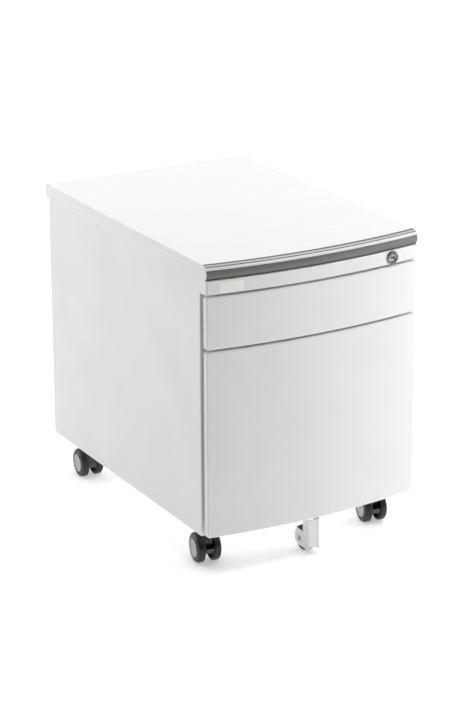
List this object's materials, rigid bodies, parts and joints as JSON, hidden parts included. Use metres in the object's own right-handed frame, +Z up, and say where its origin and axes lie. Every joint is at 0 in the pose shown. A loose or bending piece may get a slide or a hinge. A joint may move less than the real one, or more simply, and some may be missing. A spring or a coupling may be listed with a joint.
{
  "type": "mobile pedestal filing cabinet",
  "caption": "Steel mobile pedestal on twin-wheel castors: shallow top drawer over a deep hanging-file drawer with an anti-tip wheel, bowed fronts, front lock and laminated top board.",
  "frame": {"origin": "on the floor, under the middle of the overall bounding box", "axes": "+Z up; the drawer fronts face -Y; +X is to the right of someone facing the drawers"},
  "size_m": [0.43, 0.634, 0.572],
  "materials": {
    "white_powder_coat": "fine-grained satin powder coat",
    "drawer_paint": "satin powder coat, light grey",
    "board_laminate": "fine matt laminate",
    "board_edge": "satin edge band",
    "nosing_grey": "satin extrusion",
    "nosing_metallic": "metallic foil, lengthwise brushed",
    "zinc_steel": "bright zinc plate",
    "lock_chrome": "polished nickel-chrome",
    "tip_wheel_black": "moulded",
    "castor_nylon": "moulded, half gloss",
    "castor_tread": "moulded, soft tread",
    "castor_cap_grey": "moulded, satin"
  },
  "bodies": {
    "cabinet": {"right_side_panel": "white_powder_coat", "left_side_panel": "white_powder_coat", "back_panel": "white_powder_coat", "bottom_panel": "white_powder_coat", "front_rail": "white_powder_coat", "rear_posts": "zinc_steel", "fascia": "white_powder_coat", "top_board": "board_laminate", "board_edge_bands": "board_edge", "nosing_profile": "nosing_grey", "nosing_inlays": "nosing_metallic", "board_screws": "zinc_steel", "lock_housing": "lock_chrome", "lock_nut": "zinc_steel", "castor_stems": "zinc_steel", "top_runner_outer": "zinc_steel", "file_runner_outer": "zinc_steel"},
    "lock_cylinder": {"lock_core": "lock_chrome", "lock_rod": "zinc_steel"},
    "locking_bar": {"lock_bar": "zinc_steel"},
    "top_drawer": {"top_drawer_front": "white_powder_coat", "top_drawer_liner": "white_powder_coat", "top_drawer_box": "drawer_paint", "top_drawer_catch": "zinc_steel", "top_runner_inner": "zinc_steel"},
    "top_runner": {"top_runner_middle": "zinc_steel"},
    "file_drawer": {"file_drawer_front": "white_powder_coat", "file_drawer_liner": "white_powder_coat", "file_drawer_box": "drawer_paint", "file_drawer_catch": "zinc_steel", "file_runner_inner": "zinc_steel", "file_rails": "zinc_steel", "tip_bracket": "white_powder_coat", "tip_axle": "zinc_steel"},
    "file_runner": {"file_runner_middle": "zinc_steel"},
    "tip_wheel_body": {"tip_wheel": "tip_wheel_black"},
    "castor_front_left": {"castor_front_left_body": "castor_nylon", "castor_front_left_axle": "zinc_steel"},
    "castor_front_left_wheel_r_body": {"castor_front_left_wheel_r": "castor_tread", "castor_front_left_cap_r": "castor_cap_grey"},
    "castor_front_left_wheel_l_body": {"castor_front_left_wheel_l": "castor_tread", "castor_front_left_cap_l": "castor_cap_grey"},
    "castor_front_right": {"castor_front_right_body": "castor_nylon", "castor_front_right_axle": "zinc_steel"},
    "castor_front_right_wheel_r_body": {"castor_front_right_wheel_r": "castor_tread", "castor_front_right_cap_r": "castor_cap_grey"},
    "castor_front_right_wheel_l_body": {"castor_front_right_wheel_l": "castor_tread", "castor_front_right_cap_l": "castor_cap_grey"},
    "castor_rear_left": {"castor_rear_left_body": "castor_nylon", "castor_rear_left_axle": "zinc_steel"},
    "castor_rear_left_wheel_r_body": {"castor_rear_left_wheel_r": "castor_tread", "castor_rear_left_cap_r": "castor_cap_grey"},
    "castor_rear_left_wheel_l_body": {"castor_rear_left_wheel_l": "castor_tread", "castor_rear_left_cap_l": "castor_cap_grey"},
    "castor_rear_right": {"castor_rear_right_body": "castor_nylon", "castor_rear_right_axle": "zinc_steel"},
    "castor_rear_right_wheel_r_body": {"castor_rear_right_wheel_r": "castor_tread", "castor_rear_right_cap_r": "castor_cap_grey"},
    "castor_rear_right_wheel_l_body": {"castor_rear_right_wheel_l": "castor_tread", "castor_rear_right_cap_l": "castor_cap_grey"}
  },
  "joints": [
    {"name": "top_drawer_slide", "type": "slide", "parent": "cabinet", "child": "top_drawer", "axis": [0, -1, 0], "range_m": [0, 0.42]},
    {"name": "top_runner_slide", "type": "slide", "parent": "cabinet", "child": "top_runner", "axis": [0, -1, 0], "range_m": [0, 0.21]},
    {"name": "file_drawer_slide", "type": "slide", "parent": "cabinet", "child": "file_drawer", "axis": [0, -1, 0], "range_m": [0, 0.5]},
    {"name": "file_runner_slide", "type": "slide", "parent": "cabinet", "child": "file_runner", "axis": [0, -1, 0], "range_m": [0, 0.25]},
    {"name": "lock_turn", "type": "hinge", "parent": "cabinet", "child": "lock_cylinder", "pos_m": [0.155, 0, 0.53325], "axis": [0, 1, 0], "range_deg": [0, 90]},
    {"name": "locking_bar_lift", "type": "slide", "parent": "cabinet", "child": "locking_bar", "axis": [0, 0, 1], "range_m": [0, 0.01273]},
    {"name": "tip_wheel_spin", "type": "hinge", "parent": "file_drawer", "child": "tip_wheel_body", "pos_m": [0, -0.2732, 0.0245], "axis": [1, 0, 0], "continuous": true},
    {"name": "castor_front_left_swivel", "type": "hinge", "parent": "cabinet", "child": "castor_front_left", "pos_m": [-0.176, -0.2115, 0.05], "axis": [0, 0, 1], "continuous": true},
    {"name": "castor_front_left_wheel_r_spin", "type": "hinge", "parent": "castor_front_left", "child": "castor_front_left_wheel_r_body", "pos_m": [-0.16243, -0.22451, 0.0275], "axis": [0.9903, -0.1392, 0], "continuous": true},
    {"name": "castor_front_left_wheel_l_spin", "type": "hinge", "parent": "castor_front_left", "child": "castor_front_left_wheel_l_body", "pos_m": [-0.19263, -0.22027, 0.0275], "axis": [0.9903, -0.1392, 0], "continuous": true},
    {"name": "castor_front_right_swivel", "type": "hinge", "parent": "cabinet", "child": "castor_front_right", "pos_m": [0.176, -0.2115, 0.05], "axis": [0, 0, 1], "continuous": true},
    {"name": "castor_front_right_wheel_r_spin", "type": "hinge", "parent": "castor_front_right", "child": "castor_front_right_wheel_r_body", "pos_m": [0.18946, -0.22463, 0.0275], "axis": [0.989, -0.1478, 0], "continuous": true},
    {"name": "castor_front_right_wheel_l_spin", "type": "hinge", "parent": "castor_front_right", "child": "castor_front_right_wheel_l_body", "pos_m": [0.15929, -0.22012, 0.0275], "axis": [0.989, -0.1478, 0], "continuous": true},
    {"name": "castor_rear_left_swivel", "type": "hinge", "parent": "cabinet", "child": "castor_rear_left", "pos_m": [-0.176, 0.2515, 0.05], "axis": [0, 0, 1], "continuous": true},
    {"name": "castor_rear_left_wheel_r_spin", "type": "hinge", "parent": "castor_rear_left", "child": "castor_rear_left_wheel_r_body", "pos_m": [-0.16135, 0.23972, 0.0275], "axis": [0.9986, -0.0523, 0], "continuous": true},
    {"name": "castor_rear_left_wheel_l_spin", "type": "hinge", "parent": "castor_rear_left", "child": "castor_rear_left_wheel_l_body", "pos_m": [-0.19181, 0.24131, 0.0275], "axis": [0.9986, -0.0523, 0], "continuous": true},
    {"name": "castor_rear_right_swivel", "type": "hinge", "parent": "cabinet", "child": "castor_rear_right", "pos_m": [0.176, 0.2515, 0.05], "axis": [0, 0, 1], "continuous": true},
    {"name": "castor_rear_right_wheel_r_spin", "type": "hinge", "parent": "castor_rear_right", "child": "castor_rear_right_wheel_r_body", "pos_m": [0.19023, 0.23921, 0.0275], "axis": [0.9962, -0.0872, 0], "continuous": true},
    {"name": "castor_rear_right_wheel_l_spin", "type": "hinge", "parent": "castor_rear_right", "child": "castor_rear_right_wheel_l_body", "pos_m": [0.15985, 0.24187, 0.0275], "axis": [0.9962, -0.0872, 0], "continuous": true}
  ],
  "couplings": [
    {"joint": "top_runner_slide", "follows": "top_drawer_slide", "ratio": 0.5},
    {"joint": "file_runner_slide", "follows": "file_drawer_slide", "ratio": 0.5},
    {"joint": "lock_turn", "follows": "locking_bar_lift", "rad_per_m": 123.41}
  ]
}
